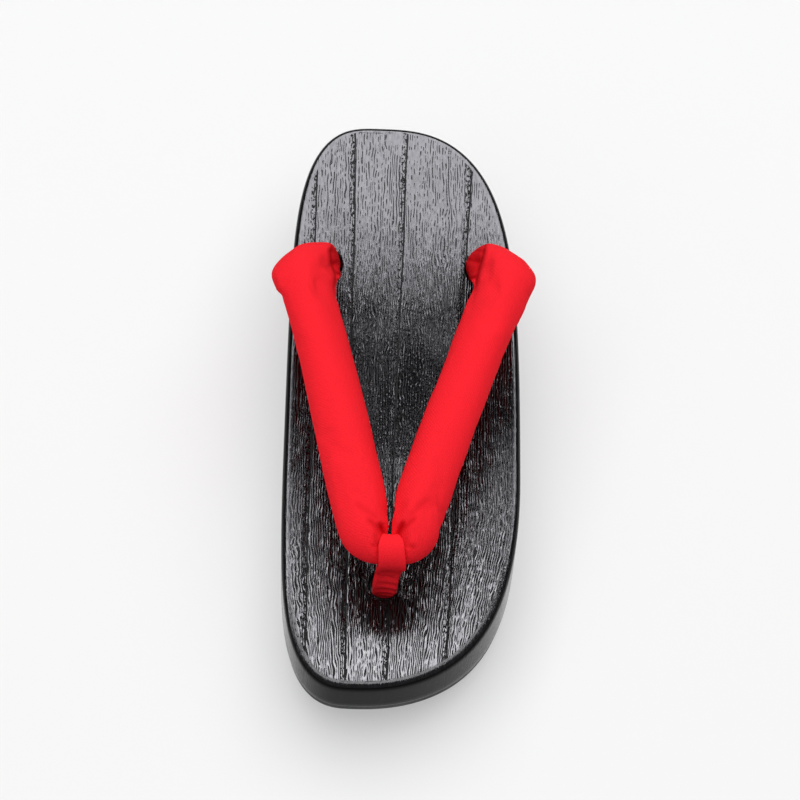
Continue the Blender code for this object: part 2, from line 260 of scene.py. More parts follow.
def addBump(tree, height, strength, distance, shader):
    bump = addNode(tree, "ShaderNodeBump", Height=height, Strength=strength, Distance=distance)
    feed(tree, shader, Normal=bump["Normal"])


def makeGrainGroup():
    # brushed wood: low ridges with broken dark pores in their troughs, and flakes beside each ring line
    group, given, out = newGroup("brushedGrain", {
        "Place": None,  # in pore pitches, along the grain in Y
        "Ring Offset": 9.0,
        "Coarse": 0.5,  # 0 few soft pores, 1 dense black ones
        "Figure": 0.0,  # 1 in the dark streaks
        "Ridge": 0.12,  # height of the ridges, in pore depths
    }, ("Height", "Pore", "Tone"))
    plus, minus, times, _, most, sine, _ = arithmetic(group)
    coarse, figure, offset = given["Coarse"], given["Figure"], given["Ring Offset"]

    def noiseOf(across, along, detail, roughness=0.5):
        scale = (across, along, across)
        stretched = addNode(group, "ShaderNodeMapping", Vector=given["Place"], Scale=scale)["Vector"]
        return noiseAt(group, stretched, 1.0, detail, roughness)

    wobble = noiseOf(0.45, 0.19, 0.0)
    breaks = noiseOf(0.95, 0.36, 1.0)
    swing = times(wobble, plus(times(coarse, 0.6), 0.9))
    across = addNode(group, "ShaderNodeSeparateXYZ", Vector=given["Place"])["X"]
    turns = plus(across, plus(times(noiseOf(0.20, 0.020, 1.0), 2.4), swing))
    wave = sine(times(turns, 2 * math.pi))
    trough = remap(group, minus(wave, times(coarse, 0.45)), -0.40, -0.90)
    # the share of the trough that is open, in short breaks and in long ones
    amount = plus(plus(times(coarse, 0.35), 0.55), times(minus(noiseOf(0.13, 0.012, 2.0), 0.5), 1.6))
    amount = plus(amount, times(figure, 1.1))
    shortDepth = times(minus(breaks, minus(0.60, times(amount, 0.18))), 9.0, clamp=True)
    longBreaks = noiseOf(0.6, 0.07, 1.0)
    longDepth = times(minus(longBreaks, minus(0.72, times(amount, 0.26))), 9.0, clamp=True)
    full = plus(times(most(coarse, figure), 0.35), 0.6)
    pores = times(times(trough, full), most(shortDepth, longDepth))
    # a thin line on each ring, with a strip of flakes on its one side
    band = times(remap(group, offset, -2.2, -1.4), remap(group, offset, -0.35, -0.15, 1.0, 0.0))
    line = times(remap(group, offset, -0.34, -0.16), remap(group, offset, 0.16, 0.34, 1.0, 0.0))
    flakes = times(times(minus(noiseOf(1.5, 0.75, 2.0, 0.6), 0.53), 9.0, clamp=True), band)
    depth = most(pores, most(flakes, line))
    lift = times(times(wave, remap(group, breaks, 0.3, 0.6, 1.0, 0.45)), given["Ridge"])
    lift = plus(lift, times(breaks, plus(times(coarse, 0.2), 0.12)))
    tone = remap(group, noiseOf(1.3, 0.27, 2.0, 0.6), 0.3, 0.7)
    feed(group, out, Height=minus(lift, depth), Pore=depth, Tone=tone)
    return group


def makeWeaveGroup():
    # twill: threads over and under, with diagonal ribs, on the piece's own UV map in millimetres
    group, given, out = newGroup("twillWeave", {"Vector": None, "Thread": 0.5}, ("Height", "Fibre"))
    plus, _, times, over, _, sine, _ = arithmetic(group)
    split = addNode(group, "ShaderNodeSeparateXYZ", Vector=given["Vector"])
    across, along = over(split["X"], given["Thread"]), over(split["Y"], given["Thread"])
    rib = times(sine(times(plus(across, along), math.pi)), 0.5)
    threads = times(sine(times(across, 2 * math.pi)), sine(times(along, 2 * math.pi)))
    fibre = noiseAt(group, given["Vector"], 2.6, 3.0, 0.65)
    feed(group, out, Height=plus(plus(rib, times(threads, 0.5)), times(fibre, 1.6)), Fibre=fibre)
    return group


def makeSpeckleGroup():
    # fine dust and handling marks that change the gloss a little
    group, given, out = newGroup("glossSpeckle", {"Vector": None, "Clean": 0.3, "Dull": 0.5}, ("Roughness",))
    plus, minus, times = arithmetic(group)[:3]
    fine = noiseAt(group, given["Vector"], 900.0, 4.0, 0.6)
    broad = noiseAt(group, given["Vector"], 45.0, 3.0)
    mask = remap(group, times(plus(fine, broad), 0.5), 0.38, 0.64)
    feed(group, out, Roughness=plus(given["Clean"], times(mask, minus(given["Dull"], given["Clean"]))))
    return group


def speckled(tree, look):
    # the gloss of a material, between its clean and its dull value
    coords = addNode(tree, "ShaderNodeTexCoord")["Object"]
    return addGroup(tree, speckleGroup, Vector=coords, Clean=look["clean"], Dull=look["dull"])["Roughness"]


lacquer = {
    "color": (0.0040, 0.0040, 0.0046),
    "mirrorDim": (0.0213, 0.0211, 0.0228),  # what the polished top sends back of the light that meets it
    "mirrorBright": (0.0285, 0.0282, 0.0302),
    "mirrorToe": (0.0470, 0.0464, 0.0490),
    "clean": 0.10,
    "dull": 0.19,
    "specular": 0.085,
    "porePitch": 1.0,  # mm between neighbouring pores
    "ridge": 0.14,
    "bumpDistance": 0.22 * mm,
    "wallBump": 0.2,  # share of the footbed's relief that the smooth walls keep
    "poreRoughness": 0.5,
}


def makeLacquer():
    # the polished top mirrors as its own colour, through Metallic, so that its pores can stay black and dull
    material, tree, shader = newMaterial(
        "blackLacquer", lacquer["color"], lacquer["clean"], Specular_IOR_Level=lacquer["specular"])
    plus, minus, times = arithmetic(tree)[:3]
    brushed, coarse = attributeAt(tree, "brushed"), attributeAt(tree, "coarse")
    grain = addGroup(
        tree, grainGroup, Place=attributeAt(tree, "grainPlace", "Vector"), Coarse=coarse,
        Ring_Offset=attributeAt(tree, "ringOffset"), Figure=attributeAt(tree, "figure"),
        Ridge=lacquer["ridge"])
    share = remap(tree, brushed, 0.0, 1.0, lacquer["wallBump"], 1.0)
    addBump(tree, grain["Height"], share, lacquer["bumpDistance"], shader)
    pore = times(grain["Pore"], brushed)
    plateau = minus(attributeAt(tree, "polished"), pore, clamp=True)
    bright = mixColors(tree, coarse, lacquer["mirrorBright"], lacquer["mirrorToe"])
    mirror = mixColors(tree, grain["Tone"], lacquer["mirrorDim"], bright)
    feed(tree, shader, Metallic=plateau, Base_Color=mixColors(tree, plateau, lacquer["color"], mirror),
         Roughness=plus(speckled(tree, lacquer), times(pore, lacquer["poreRoughness"]), clamp=True))
    return material


rubber = {
    "color": (0.017, 0.017, 0.018),
    "clean": 0.5,
    "dull": 0.68,
    "pebbleScale": 1500.0,
    "pebbleStrength": 0.35,
    "bumpDistance": 0.12 * mm,
}


def makeRubber():
    material, tree, shader = newMaterial("blackRubber", rubber["color"], rubber["dull"])
    feed(tree, shader, Roughness=speckled(tree, rubber))
    pebble = noiseAt(tree, addNode(tree, "ShaderNodeTexCoord")["Object"], rubber["pebbleScale"], 2.0, 0.6)
    addBump(tree, pebble, rubber["pebbleStrength"], rubber["bumpDistance"], shader)
    return material


cloth = {
    "lit": (0.97, 0.0215, 0.034),
    "shade": (0.86, 0.0140, 0.024),
    "foldPaintedShade": (0.52, 0.0025, 0.006),  # painted shade, laid into the folds' troughs and under the turned ends
    "roughness": 0.9,
    "specular": 0.02,
    "thread": 0.62,
    "bumpStrength": 0.5,
    "bumpDistance": 0.16 * mm,
}


def makeCloth():
    material, tree, shader = newMaterial(
        "redCloth", cloth["lit"], cloth["roughness"], Specular_IOR_Level=cloth["specular"])
    threads = addNode(tree, "ShaderNodeUVMap", {"uv_map": "weaveMap"})["UV"]
    weave = addGroup(tree, weaveGroup, Vector=threads, Thread=cloth["thread"])
    fibres = mixColors(tree, remap(tree, weave["Fibre"], 0.35, 0.65), cloth["shade"], cloth["lit"])
    # painted shade: where foldShade is set, the cloth's colour turns to the dark painted shade colour
    feed(tree, shader, Base_Color=mixColors(tree, attributeAt(tree, "foldShade"), fibres, cloth["foldPaintedShade"]))
    addBump(tree, weave["Height"], cloth["bumpStrength"], cloth["bumpDistance"], shader)
    return material


print("stage: materials")
grainGroup = makeGrainGroup()
weaveGroup = makeWeaveGroup()
speckleGroup = makeSpeckleGroup()
lacquerMaterial = makeLacquer()
rubberMaterial = makeRubber()
clothMaterial = makeCloth()


# The wooden platform
woodLow, woodHigh = (np.array(corner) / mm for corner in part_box("wooden_base"))
toeY, heelY = woodLow[1], woodHigh[1]
wood = {
    "toeTipX": -14.2,
    "heelTipX": -9.4,
    # towards each tip: how square the corner is, and how much fuller the side is before it
    "medial": {"x": woodLow[0], "y": -4.0, "toe": (3.08, 0.48), "heel": (3.42, 0.42)},
    "lateral": {"x": woodHigh[0], "y": -27.0, "toe": (2.31, 0.29), "heel": (2.94, 0.42)},
    "footbed": (35.1, 10.4, 7.4, -4.6),  # cubic along half the length
    "swells": ((-8.0, 32.0, -0.35), (-75.0, 26.0, 0.25)),  # middle, reach and height of two faint swells
    "topRound": 3.2,
    "toeSquare": 1.3,
    "squareFrom": (60.0, 110.0),  # how far towards the toe the edge turns squarer and the gloss duller
    "lowerRound": 1.0,
    "rubber": 5.3,
    "toeLift": 17.4,
    "rockerStart": -30.0,
    "rockerPower": 1.8,
    "stepY": -19.0,
    "archSlope": 0.36,
    "archBend": 20.0,
    "archFlat": 38.0,
    "heelBend": 50.0,
    "heelFront": 80.0,
    "strip": 0.6,  # the smooth strip inside the upper edge, and how much wider and duller it is at the toe
    "toeStrip": 2.4,
    "toeDull": 0.55,
    "glossFrom": (0.80, 0.985),  # upward part of the normal where the polished top begins
    "coarseFrom": (5.0, 95.0),  # how far towards the toe the grain turns coarse
    "sideStep": 1.5,  # spacing of the cross-sections, and of the columns across
    "columns": 220,
    "columnsBelow": 16,
    "ringLines": ((-32.0, -34.5), (-18.0, -19.5), (-3.0, 0.8), (18.0, 27.0)),  # x at the toe and at the heel
    "ringDepth": 0.16,
    "unevenness": 0.07,
    "reliefFrom": (2.6, 6.0),  # how far inside the edge the ring lines' troughs and the unevenness begin
    # streaks of dense dark pores at the heel, x and y from end to end
    "figures": ((-24.3, 110.9, -19.8, 98.1), (-22.4, 93.0, -19.6, 86.5), (-6.2, 101.2, -3.2, 80.7),
                (-3.6, 105.2, -0.6, 83.4), (-27.5, 96.0, -25.8, 84.0)),
    "fanFrom": -45.0,  # towards the toe from here the grain closes in on the fan's middle
    "fanMiddle": -8.0,
    "fanAmount": 0.36,
    "rimRound": 0.9,  # of the strap holes
    "holeSides": 56,
}
holes = {
    "front": {"x": -4.4, "y": -77.4, "radius": 5.3, "recess": 11.5, "ceiling": 21.0},
    "rearMedial": {"x": -29.9, "y": 59.3, "radius": 6.5, "recess": 10.0, "ceiling": 26.5},
    "rearLateral": {"x": 30.7, "y": 59.3, "radius": 6.5, "recess": 10.0, "ceiling": 26.5},
}


def quarter(side, y, tips):
    # which quarter of the outline y is in, and how far towards its tip
    shape = wood[side]
    towardsToe = y < shape["y"]
    tipY = np.where(towardsToe, *tips)
    tipX = np.where(towardsToe, wood["toeTipX"], wood["heelTipX"])
    power, fullness = (np.where(towardsToe, a, b) for a, b in zip(shape["toe"], shape["heel"]))
    reach = np.clip(np.abs((y - shape["y"]) / (tipY - shape["y"])), 0, 1)
    return reach, tipX, power, fullness * reach ** 4 * (1 - reach)


def sideX(side, y, inset, tips):
    reach, tipX, power, fuller = quarter(side, y, tips)
    wide = wood[side]["x"] - math.copysign(inset, wood[side]["x"])
    return tipX + (wide - tipX) * ((1 - reach ** power) ** (1 / power) + fuller)


def footbedZ(y):
    u = np.asarray(y) / (heelY - toeY) * 2
    c = wood["footbed"]
    swell = sum(height * np.exp(-((np.asarray(y) - middle) / reach) ** 2)
                for middle, reach, height in wood["swells"])
    return c[0] + c[1] * u + c[2] * u ** 2 + c[3] * u ** 3 + swell


def treadZ(y):
    rise = np.clip((wood["rockerStart"] - y) / (wood["rockerStart"] - toeY), 0, None)
    return wood["toeLift"] * rise ** wood["rockerPower"]


def undersideZ(y):
    step, slope, bendY, flatY, fallY = (
        wood[k] for k in ("stepY", "archSlope", "archBend", "archFlat", "heelBend"))
    ceiling = wood["rubber"] + slope * (bendY - step) + slope * (flatY - bendY) / 2
    ramp = wood["rubber"] + slope * (y - step)
    bend = ceiling - slope * (flatY - bendY) / 2 * ((flatY - y) / (flatY - bendY)) ** 2
    drop = (y - fallY) / (wood["heelFront"] - fallY)
    heel = ceiling - (ceiling - wood["rubber"]) * (1 - np.cos(np.pi * np.clip(drop, 0, 1))) / 2
    return np.select([y <= step, y <= bendY, y <= flatY, y <= fallY],
                     [treadZ(y) + wood["rubber"], ramp, bend, np.full_like(y, ceiling)], heel)


def sectionPlaces(start, end, tips, corners):
    # even steps along the side, then closer ones so that the outline's x never jumps near a tip
    step = wood["sideStep"]
    places = [*np.linspace(start, end, int((end - start) / step) + 1), *corners]
    for tip in tips:
        for side in ("medial", "lateral"):
            shape, tipName = wood[side], "toe" if tip < 0 else "heel"
            power = shape[tipName][0]
            span = abs(shape["x"] - wood[tipName + "TipX"])
            x = np.arange(step, span * 0.9, step)
            places += list(shape["y"] + (tip - shape["y"]) * (1 - (x / span) ** power) ** (1 / power))
    places = sorted(y for y in places if start < y < end)
    kept = [start]
    for y in places:
        closest = 0.004 if min(abs(y - t) for t in tips) < 1.0 else 0.25
        if y - kept[-1] > closest and end - y > 0.004 or y in corners:
            if y in corners and kept[-1] != start and y - kept[-1] < 0.25:
                kept.pop()
            kept.append(y)
    return np.array(kept + [end])


def outlineRing(places, tips, inset=0.0):
    lateral, medial = (np.column_stack([sideX(side, places, inset, tips), places])
                       for side in ("lateral", "medial"))
    first = 1 if places[0] == tips[0] else 0
    last = len(places) - 1 if places[-1] == tips[1] else len(places)
    ring = np.vstack([lateral, medial[first:last][::-1]])
    pairs = [(k, (len(ring) - 1 + first - k) % len(ring)) for k in range(len(places))]
    return ring, pairs


def moveInward(ring, distance):
    ahead = np.roll(ring, -1, axis=0) - np.roll(ring, 1, axis=0)
    square = np.column_stack([-ahead[:, 1], ahead[:, 0]])
    return ring + square / np.linalg.norm(square, axis=1)[:, None] * distance


def raisedRing(ring, inset, height):
    moved = moveInward(ring, inset)
    return np.column_stack([moved, height(moved[:, 1])])


def capGrid(ring, ringStart, pairs, columns, nextIndex):
    # rows of points across a ring, and the faces between them
    points, rows = [], []
    for right, left in pairs:
        if right == left:
            rows.append([ringStart + right] * (columns + 1))
            continue
        share = np.linspace(0, 1, columns + 1)[1:-1, None]
        points.append(ring[right] * (1 - share) + ring[left] * share)
        rows.append([ringStart + right, *range(nextIndex, nextIndex + columns - 1), ringStart + left])
        nextIndex += columns - 1
    faces = []
    for low, high in zip(rows, rows[1:]):
        for j in range(columns):
            faces.append(list(dict.fromkeys((low[j], high[j], high[j + 1], low[j + 1]))))
    return np.vstack(points), [f for f in faces if len(f) > 2]


def blockFromRings(name, rings, pairs, columnsBelow, columnsAbove, below, above, material):
    # rings run from the underside up; below and above give the caps' heights
    size = len(rings[0])
    count = len(rings) * size
    lower, lowerFaces = capGrid(rings[0][:, :2], 0, pairs, columnsBelow, count)
    count += len(lower)
    upper, upperFaces = capGrid(rings[-1][:, :2], (len(rings) - 1) * size, pairs, columnsAbove, count)
    points = [*rings, np.column_stack([lower, below(lower[:, 1])]), np.column_stack([upper, above(*upper.T)])]
    faces = wrapFaces(size, len(rings)) + [f[::-1] for f in lowerFaces] + upperFaces
    return makeObject(name, np.vstack(points), faces, material), slice(count, None)


def edgeDistance(x, y):
    # about how far inside the outline a point is
    nearest = np.full(x.shape, 1e9)
    for side, sign in (("medial", -1), ("lateral", 1)):
        shape = wood[side]
        reach, tipX, power, fuller = quarter(side, y, (toeY, heelY))
        wide = np.abs(shape["x"] - tipX)
        across = np.clip((x - tipX) * sign / wide - fuller, 0, None)
        radius = (across ** power + reach ** power) ** (1 / power)
        along = reach * np.abs(np.where(y < shape["y"], toeY, heelY) - shape["y"])
        ahead = np.hypot(across * wide, along) * (1 / np.clip(radius, 1e-3, None) - 1)
        nearest = np.where((x - tipX) * sign >= 0, np.minimum(nearest, ahead), nearest)
    return nearest


def ringOffsets(x, y):
    # signed distance to the nearest ring line, a crooked line that runs the whole length
    share = (y - toeY) / (heelY - toeY)
    nearest = np.full(x.shape, 9.0)
    for index, (toeX, heelX) in enumerate(wood["ringLines"], 1):
        bends = 0.45 * wander(y, index, 38.0) + 0.10 * wander(y, index + 8, 6.0)
        off = x - (toeX + (heelX - toeX) * share + bends)
        nearest = np.where(np.abs(off) < np.abs(nearest), off, nearest)
    return nearest


def lineDistances(x, y, startX, startY, endX, endY):
    # how far points are to the left of a line, and how far past its ends
    length = math.hypot(endX - startX, endY - startY)
    aheadX, aheadY = (endX - startX) / length, (endY - startY) / length
    run = (x - startX) * aheadX + (y - startY) * aheadY
    side = (y - startY) * aheadX - (x - startX) * aheadY
    return side, np.maximum(np.maximum(-run, run - length), 0)


def figureShare(x, y):
    share = np.zeros(x.shape)
    for figure in wood["figures"]:
        side, past = lineDistances(x, y, *figure)
        share = np.maximum(share, np.exp(-(side / 0.9) ** 2 - (past / 3.0) ** 2))
    return share


def woodTop(x, y):
    # the footbed with its ring lines' troughs and a slight unevenness, both fading towards the edge
    trough = -wood["ringDepth"] * np.exp(-((ringOffsets(x, y) + 0.5) / 0.9) ** 2)
    swell = np.array([noise.noise(Vector((a / 9.0, b / 60.0, 3.3))) for a, b in zip(x, y)])
    relief = softStep(edgeDistance(x, y), *wood["reliefFrom"])
    return footbedZ(y) + (trough + wood["unevenness"] * swell) * relief


def holeCutter(hole, rim=0.0):
    # recess, strap hole and a rounded rim that follows the footbed
    turns = np.linspace(0, 2 * np.pi, wood["holeSides"], endpoint=False)

    def ring(radius, flatZ=None, aboveFootbed=0.0):
        flat = np.column_stack([np.cos(turns), np.sin(turns)]) * radius + (hole["x"], hole["y"])
        z = footbedZ(flat[:, 1]) + aboveFootbed if flatZ is None else np.full(len(flat), flatZ)
        return np.column_stack([flat, z])

    rings = [ring(hole["recess"], -10.0), ring(hole["recess"], hole["ceiling"]),
             ring(hole["radius"], hole["ceiling"])]
    for step, (drop, out) in enumerate(quarterRound(rim, 7)):
        rings.append(ring(hole["radius"] + out, None, 0.05 * step / 6 - drop))
    rings.append(ring(hole["radius"] + rim + 0.6, None, 1.2))
    rings.append(ring(hole["radius"] + rim + 0.6, 80.0))
    return makeObject("cutter", np.vstack(rings), wrapFaces(len(turns), len(rings), closed=True))


def cutHoles(piece, cutters):
    for cutter in cutters:
        boolean = piece.modifiers.new("cut", "BOOLEAN")
        boolean.operation = "DIFFERENCE"
        boolean.object = cutter
        bakeModifiers(piece)
        bpy.data.objects.remove(cutter)
    piece.data.set_sharp_from_angle(angle=math.radians(35))


def edgeDrop(share, y):
    # how far the upper edge has dropped, from its inner end at 0 to the wall at 1; squarer at the toe
    power = 2.1 + wood["toeSquare"] * softStep(-np.asarray(y), *wood["squareFrom"])
    return wood["topRound"] * (1 - (1 - min(share, 1 - 1e-9) ** power) ** (1 / power))


def makePlatform():
    places = sectionPlaces(toeY, heelY, (toeY, heelY), (wood["stepY"], wood["heelFront"]))
    ring, pairs = outlineRing(places, (toeY, heelY))
    rings = []
    for inset, lift in quarterRound(wood["lowerRound"], 4):
        rings.append(raisedRing(ring, inset, lambda y: undersideZ(y) + lift))
    for share in (0.2, 0.4, 0.6, 0.8):  # side wall
        rings.append(raisedRing(ring, 0, lambda y: (1 - share) * (undersideZ(y) + wood["lowerRound"])
                                + share * (footbedZ(y) - wood["topRound"])))
    # upper edge: a nearly flat margin that ends in a tight round
    for angle in np.linspace(0, math.pi / 2, 15):
        share = max(math.cos(angle), 1e-6) ** (2 / 2.6)
        inset = wood["topRound"] * (1 - share)
        rings.append(raisedRing(ring, inset, lambda y: footbedZ(y) - edgeDrop(share, y)))
    piece, top = blockFromRings("woodenPlatform", rings, pairs, wood["columnsBelow"], wood["columns"],
                                undersideZ, woodTop, lacquerMaterial)
    points = readPoints(piece.data)
    x, y = points[:, 0], points[:, 1]
    toeShare = softStep(-y, *wood["squareFrom"])
    brushed = np.zeros(len(points))
    margin = wood["strip"] + wood["toeStrip"] * toeShare[top]
    brushed[top] = softStep(edgeDistance(x[top], y[top]) - margin, 0, 1.2)
    lift = readValues(piece.data.vertices, "normal")[:, 2] + 0.09 * toeShare
    polished = softStep(lift, *wood["glossFrom"]) * (1 - wood["toeDull"] * toeShare * (1 - brushed))
    storeFloats(piece.data, brushed=brushed, polished=polished, coarse=softStep(-y, *wood["coarseFrom"]),
                ringOffset=ringOffsets(x, y), figure=figureShare(x, y))
    fan = np.clip((wood["fanFrom"] - y) / (wood["fanFrom"] - toeY), 0, 1) ** 1.5
    points[:, 0] = wood["fanMiddle"] + (x - wood["fanMiddle"]) * (1 + wood["fanAmount"] * fan)
    attribute = piece.data.attributes.new("grainPlace", "FLOAT_VECTOR", "POINT")
    attribute.data.foreach_set("vector", (points / lacquer["porePitch"]).astype(np.float32).ravel())
    cutHoles(piece, [holeCutter(hole, wood["rimRound"]) for hole in holes.values()])
    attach(piece, "root")
    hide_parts("wooden_base")


print("stage: wooden platform")
makePlatform()

# Rubber soles, glued under the forefoot and the heel
soles = {
    "inset": 0.5,
    "toeInset": 2.0,
    "heelInset": 1.0,
    "edgeRound": 0.9,
    "glueLine": 0.3,
    "columns": 30,
}


def makeSole(name, node, start, end, tips, height):
    places = sectionPlaces(start, end, tips, ())
    ring, pairs = outlineRing(places, tips, soles["inset"])
    rings = []
    for inset, lift in quarterRound(soles["edgeRound"], 5):
        rings.append(raisedRing(ring, inset, lambda y: height(y) + lift))
    glued = wood["rubber"] - soles["glueLine"]
    rings.append(raisedRing(ring, 0, lambda y: height(y) + glued))
    piece, _ = blockFromRings(name, rings, pairs, soles["columns"], soles["columns"], height,
                              lambda x, y: height(y) + glued, rubberMaterial)
    if name == "forefootRubber":
        cutHoles(piece, [holeCutter(holes["front"])])
    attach(piece, "root")
    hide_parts(node)


print("stage: rubber soles")
soleTips = (toeY + soles["toeInset"], heelY - soles["heelInset"])
makeSole("forefootRubber", "forefoot_sole", soleTips[0], wood["stepY"], soleTips, treadZ)
makeSole("heelRubber", "heel_sole", wood["heelFront"], soleTips[1], soleTips, np.zeros_like)

# The padded strap, in sections from the point of the V to the knots
strap = {
    "point": (-2.6, -75.8, 53.8, 4.4, 5.0, 0),  # x, y, z, half width, half height and lean
    # x, y and half width on the big toe's side, the same on the other, then z, half height and lean of both
    "arms": (
        ((-7.9, -73.9, 7.1), (3.0, -73.4, 7.1), (54.9, 7.3, 0)),
        ((-11.6, -70.0, 9.0), (5.5, -69.0, 8.7), (55.4, 8.7, 3)),
        ((-13.6, -63.8, 9.5), (6.6, -63.1, 8.8), (55.7, 9.0, 7)),
        ((-15.3, -53.7, 10.5), (8.5, -52.8, 10.1), (55.9, 9.2, 12)),
        ((-21.9, -23.0, 10.8), (17.8, -21.5, 10.6), (56.4, 9.2, 15)),
        ((-29.4, 9.0, 10.8), (28.2, 11.0, 10.6), (56.8, 9.2, 15)),
        ((-36.7, 38.0, 11.2), (37.0, 38.0, 10.9), (57.0, 9.3, 14)),
        ((-38.0, 46.5, 11.8), (38.7, 46.5, 11.3), (56.2, 9.0, 10)),
        ((-36.6, 53.0, 11.7), (37.0, 53.0, 11.2), (53.4, 8.4, 4)),
        ((-34.0, 57.0, 10.6), (34.4, 57.0, 10.2), (49.2, 8.0, 0)),
        ((-31.6, 58.8, 8.5), (32.2, 58.8, 8.3), (45.2, 7.6, 0)),
        ((-30.4, 59.2, 6.6), (31.1, 59.2, 6.6), (42.0, 6.4, 0)),
        ((-30.2, 59.3, 5.4), (31.0, 59.3, 5.4), (39.0, 5.2, 0)),
        ((-30.2, 59.3, 5.0), (31.0, 59.3, 5.0), (33.0, 5.0, 0)),
        ((-29.9, 59.3, 3.2), (30.7, 59.3, 3.2), (29.8, 3.2, 0)),
        ((-29.9, 59.3, 3.2), (30.7, 59.3, 3.2), (26.6, 3.2, 0)),
    ),
    "ringStep": 1.5,
    "sides": 60,
    "girth": 60.0,
    "startShrink": 0.95,  # the simulation swells the tube back to its full size
    "freeFrom": (4.5, 8.0),  # distance along the arm where the cloth begins to be free
    "freeTo": (148.0, 154.0),
    "elbowFrom": (112.0, 122.0),  # and where it turns under
    "elbowTo": (150.0, 157.0),
    "elbowSpan": (108.0, 154.0),
    "foldsEnd": (152.0, 156.0),
    "seat": (7.5, 11.0),  # how far from the middle of the point the band's grip reaches
    "uneven": 0.25,  # height of the stuffing's soft lumps, their size, and where along the arm they are
    "lumpSize": 17.0,
    "lumpsFrom": (8.0, 20.0),
    "lumpsTo": (132.0, 145.0),
    "cloth": {
        "vertex_group_mass": "held",
        "quality": 6,
        "mass": 0.25,
        "tension_stiffness": 12,
        "compression_stiffness": 12,
        "shear_stiffness": 4,
        "bending_stiffness": 0.15,
        "use_pressure": True,
        "uniform_pressure_force": 4.0,
        "shrink_min": -0.006,  # how much wider the cloth is than its stuffing
    },
    "frames": 20,
    "mostMove": 1.4,
}
# The front band: one strip of folded cloth that loops over the strap's point, its two ends in the hole
band = {
    "thickness": 1.7,
    "gap": 1.0,  # from the strap's surface to the middle of the strip
    "tail": (  # x, y, z, half width and cup, from the bottom up
        (-4.4, -78.2, 20.6, 3.2, 0.5),
        (-4.4, -78.3, 25.0, 3.7, 0.6),
        (-4.45, -78.8, 29.0, 4.0, 0.7),
        (-4.45, -79.2, 32.0, 4.2, 0.8),
        (-4.4, -79.5, 35.0, 4.4, 0.9),
        (-4.2, -79.3, 38.2, 4.5, 0.9),
        (-3.8, -78.5, 41.4, 4.4, 0.8),
        (-3.3, -77.6, 44.2, 4.4, 0.8),
    ),
    "plyShift": 0.85,  # half the way between the two ends
    "loop": (  # angle round the point from the toe side over the top, x, half width, cup
        (-48, -2.7, 4.75, 0.8),
        (-25, -2.3, 4.95, 0.8),
        (5, -2.2, 4.95, 0.8),
        (35, -2.35, 4.85, 0.8),
        (65, -2.7, 4.7, 0.8),
        (88, -2.8, 4.5, 0.8),
        (108, -2.9, 3.9, 0.7),
        (128, -3.0, 3.2, 0.6),
        (160, -3.0, 3.0, 0.4),
        (195, -3.0, 3.2, 0.1),
        (228, -3.0, 3.7, -0.4),
    ),
    "step": 0.6,
    "acrossSteps": 16,
    "weaveStep": 0.65,  # width of cloth from one point across to the next
    "foldDepth": 0.28,
    "foldLength": 3.1,
}

# The folds and the ends' outlines are laid out on a sloping plane, u to the outer side and v up the sandal
foldPlane = {"u": (0.9992, 0.0148, 0.0357), "v": (-0.0320, 0.8359, 0.5478), "height": 38.0}
elbows = (  # the side and middle of each turned-under end, and its outline from edge to edge of the arm
    (-1, (-36.0, 47.0), (
        (-46.2, 40.4), (-48.1, 45.0), (-48.9, 48.1), (-47.7, 50.7), (-44.7, 54.2), (-41.6, 56.8),
        (-38.6, 59.1), (-35.9, 60.1), (-31.0, 60.5), (-27.1, 60.6), (-25.2, 59.5), (-24.1, 57.2),
        (-22.9, 53.4), (-22.2, 50.3), (-22.0, 48.1), (-22.9, 45.8), (-23.9, 43.9), (-23.7, 40.4))),
    (1, (38.5, 46.5), (
        (49.4, 39.5), (51.2, 43.1), (51.6, 45.6), (51.2, 47.7), (47.2, 53.3), (40.5, 58.1), (35.5, 60.0),
        (33.2, 60.3), (28.9, 57.9), (26.3, 55.3), (25.0, 52.3), (25.0, 48.7), (25.3, 47.4), (28.1, 43.9),
        (27.1, 42.1), (26.0, 39.0))),
)
# each fold is a line u, v to u, v, its half width and depth, and how much lower the cloth on its left lies
folds = (
    (-25.3, 60.8, -26.6, 56.6, 0.6, 0.9, 1.5),
    (-26.6, 56.6, -26.1, 51.5, 0.6, 1.2, 2.6),
    (-26.1, 51.5, -24.4, 47.3, 0.6, 1.2, 2.6),
    (-24.4, 47.3, -24.1, 43.0, 0.6, 1.0, 1.6),
    (-26.0, 51.0, -22.9, 46.9, 0.7, 0.7, -0.7),
    (-25.2, 55.5, -22.8, 53.0, 0.9, 0.4, 0.0),
    (32.6, 59.5, 32.0, 56.3, 0.6, 0.9, -1.5),
    (32.0, 56.3, 30.9, 52.3, 0.6, 1.2, -2.6),
    (30.9, 52.3, 29.1, 45.6, 0.6, 1.2, -2.6),
    (29.1, 45.6, 28.1, 42.4, 0.6, 1.0, -1.6),
    (25.3, 47.5, 29.6, 49.4, 0.7, 0.9, 0.6),
    (26.8, 56.0, 30.8, 54.0, 0.9, 0.4, 0.0),
    (-6.9, -45.6, -5.6, -48.6, 1.1, 1.6, 0.0),
    (0.7, -45.0, -0.8, -48.4, 1.1, 1.6, 0.0),
    (-9.4, -52.0, -6.6, -51.4, 0.6, 0.6, 0.0),
    (2.6, -51.6, 5.2, -52.6, 0.6, 0.6, 0.0),
    (-10.5, -43.4, -7.0, -46.4, 1.0, 0.5, 0.0),
    (4.6, -43.0, 0.8, -46.2, 1.0, 0.5, 0.0),
    (-14.5, -38.0, -9.0, -41.5, 1.2, 0.25, 0.0),
    (9.5, -36.0, 4.5, -40.5, 1.2, 0.25, 0.0),
)


